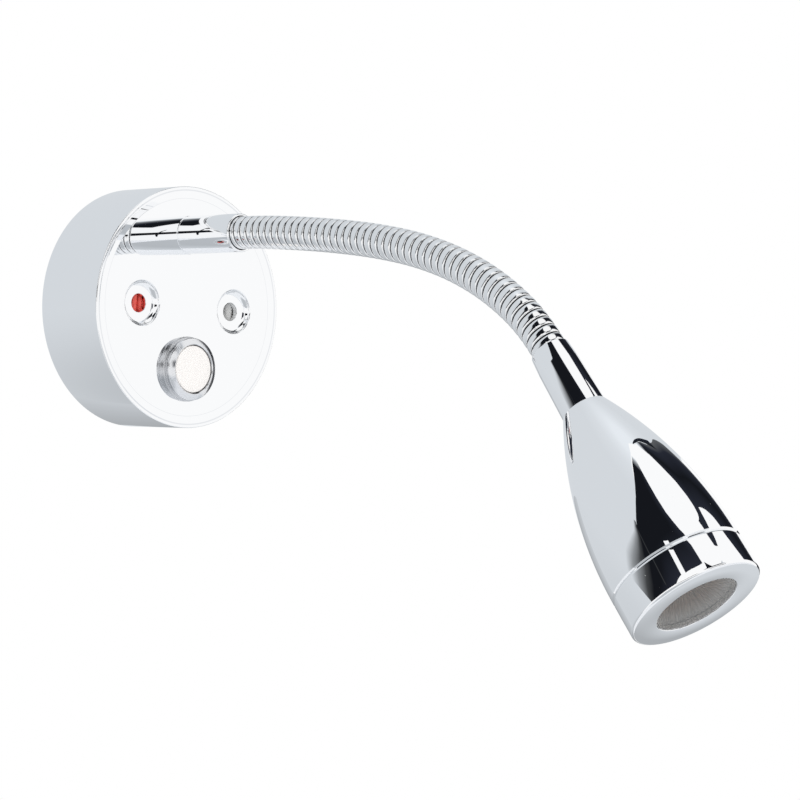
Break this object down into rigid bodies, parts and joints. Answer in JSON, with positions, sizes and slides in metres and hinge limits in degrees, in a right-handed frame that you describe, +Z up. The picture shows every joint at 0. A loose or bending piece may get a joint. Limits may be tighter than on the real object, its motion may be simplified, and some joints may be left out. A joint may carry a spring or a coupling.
{
  "type": "bedside wall reading lamp",
  "caption": "Wall-mounted bedside reading lamp: round chromed housing with push switch, ribbed gooseneck arm and turned bell-shaped spot head with a recessed lens.",
  "frame": {"origin": "centre of the mounting face on the wall, midway between the wall screws", "axes": "+Z up, +Y into the wall, +X to the right for someone facing the wall; the arm stands out towards -Y"},
  "size_m": [0.08, 0.2565, 0.1367],
  "materials": {
    "housing_chrome": "polished",
    "neck_chrome": "polished",
    "head_chrome": "polished, chrome plated",
    "button_ivory": "satin",
    "lens_clear": "moulded, pebbled",
    "zinc_steel": "zinc plated",
    "nickel_brass": "nickel plated",
    "spring_steel": "bright",
    "black_nylon": "matt",
    "board_green": "solder resist",
    "transformer_amber": "taped",
    "capacitor_sleeve": "shrink sleeve",
    "terminal_grey": "moulded",
    "lead_red": "insulation",
    "lead_black": "insulation",
    "cable_sheath": "sheath",
    "board_white": "white resist",
    "pad_grey": "soft",
    "emitter_amber": "phosphor",
    "seal_black": "soft"
  },
  "bodies": {
    "base": {"base_housing": "housing_chrome", "wall_plate": "zinc_steel", "entry_bush": "black_nylon", "clinch_nuts": "zinc_steel", "driver_board": "board_green", "board_pillars": "zinc_steel", "driver_transformer": "transformer_amber", "driver_capacitor": "capacitor_sleeve", "supply_terminal": "terminal_grey", "terminal_screws": "zinc_steel", "switch_bezel": "housing_chrome", "switch_washer": "zinc_steel", "switch_nut": "nickel_brass", "button_spring": "spring_steel", "contact_block": "black_nylon", "switch_tabs": "nickel_brass", "switch_lead_1": "lead_red", "switch_lead_2": "lead_red", "root_nipple": "nickel_brass", "lock_washer": "zinc_steel", "lock_nut": "nickel_brass", "root_sleeve": "housing_chrome", "root_cable": "cable_sheath"},
    "neck_1": {"gooseneck_1": "neck_chrome", "arm_cable_1": "cable_sheath"},
    "neck_2": {"gooseneck_2": "neck_chrome", "arm_cable_2": "cable_sheath"},
    "neck_3": {"gooseneck_3": "neck_chrome", "arm_cable_3": "cable_sheath"},
    "neck_4": {"gooseneck_4": "neck_chrome", "arm_cable_4": "cable_sheath"},
    "neck_5": {"gooseneck_5": "neck_chrome", "arm_cable_5": "cable_sheath"},
    "neck_6": {"gooseneck_6": "neck_chrome", "arm_cable_6": "cable_sheath"},
    "neck_7": {"gooseneck_7": "neck_chrome", "arm_cable_7": "cable_sheath"},
    "head": {"gooseneck_8": "neck_chrome", "arm_cable_8": "cable_sheath", "head_collar": "head_chrome", "head_cable": "cable_sheath", "head_bell": "head_chrome", "front_ring": "head_chrome", "lens_holder": "black_nylon", "lens_seal": "seal_black", "lens": "lens_clear", "thermal_pad": "pad_grey", "light_board": "board_white", "light_emitter": "emitter_amber", "star_screws": "zinc_steel", "core_black": "lead_black", "core_red": "lead_red"},
    "button": {"button_cap": "button_ivory"}
  },
  "joints": [
    {"name": "root_bend", "type": "hinge", "parent": "base", "child": "neck_1", "pos_m": [0, -0.06025, 0.02388], "axis": [1, 0, 0], "range_deg": [-30, 25], "deforming": ["gooseneck_1", "arm_cable_1"]},
    {"name": "root_sway", "type": "hinge", "parent": "neck_1", "child": "neck_2", "pos_m": [0, -0.07803, 0.023], "axis": [0, -0.0671, 0.9977], "range_deg": [-25, 25], "deforming": ["gooseneck_2", "arm_cable_2"]},
    {"name": "root_bend_2", "type": "hinge", "parent": "neck_2", "child": "neck_3", "pos_m": [0, -0.09576, 0.02153], "axis": [1, 0, 0], "range_deg": [-30, 25], "deforming": ["gooseneck_3", "arm_cable_3"]},
    {"name": "root_sway_2", "type": "hinge", "parent": "neck_3", "child": "neck_4", "pos_m": [0, -0.11343, 0.01939], "axis": [0, -0.1478, 0.989], "range_deg": [-25, 25], "deforming": ["gooseneck_4", "arm_cable_4"]},
    {"name": "tip_bend", "type": "hinge", "parent": "neck_4", "child": "neck_5", "pos_m": [0, -0.13092, 0.0161], "axis": [1, 0, 0], "range_deg": [-35, 20], "deforming": ["gooseneck_5", "arm_cable_5"]},
    {"name": "tip_sway", "type": "hinge", "parent": "neck_5", "child": "neck_6", "pos_m": [0, -0.14791, 0.01085], "axis": [0, -0.3624, 0.932], "range_deg": [-25, 25], "deforming": ["gooseneck_6", "arm_cable_6"]},
    {"name": "tip_bend_2", "type": "hinge", "parent": "neck_6", "child": "neck_7", "pos_m": [0, -0.16392, 0.00311], "axis": [1, 0, 0], "range_deg": [-35, 20], "deforming": ["gooseneck_7", "arm_cable_7"]},
    {"name": "tip_sway_2", "type": "hinge", "parent": "neck_7", "child": "head", "pos_m": [0, -0.17819, -0.00748], "axis": [0, -0.6884, 0.7254], "range_deg": [-25, 25], "deforming": ["gooseneck_8", "arm_cable_8"]},
    {"name": "button_press", "type": "slide", "parent": "base", "child": "button", "axis": [0, 1, 0], "range_m": [0, 0.0015], "stiffness_N_per_m": 800, "springref_m": -0.001, "deforming": ["button_spring"]}
  ],
  "couplings": [
    {"joint": "root_bend_2", "follows": "root_bend", "ratio": 1},
    {"joint": "root_sway_2", "follows": "root_sway", "ratio": 1},
    {"joint": "tip_bend_2", "follows": "tip_bend", "ratio": 1},
    {"joint": "tip_sway_2", "follows": "tip_sway", "ratio": 1}
  ]
}
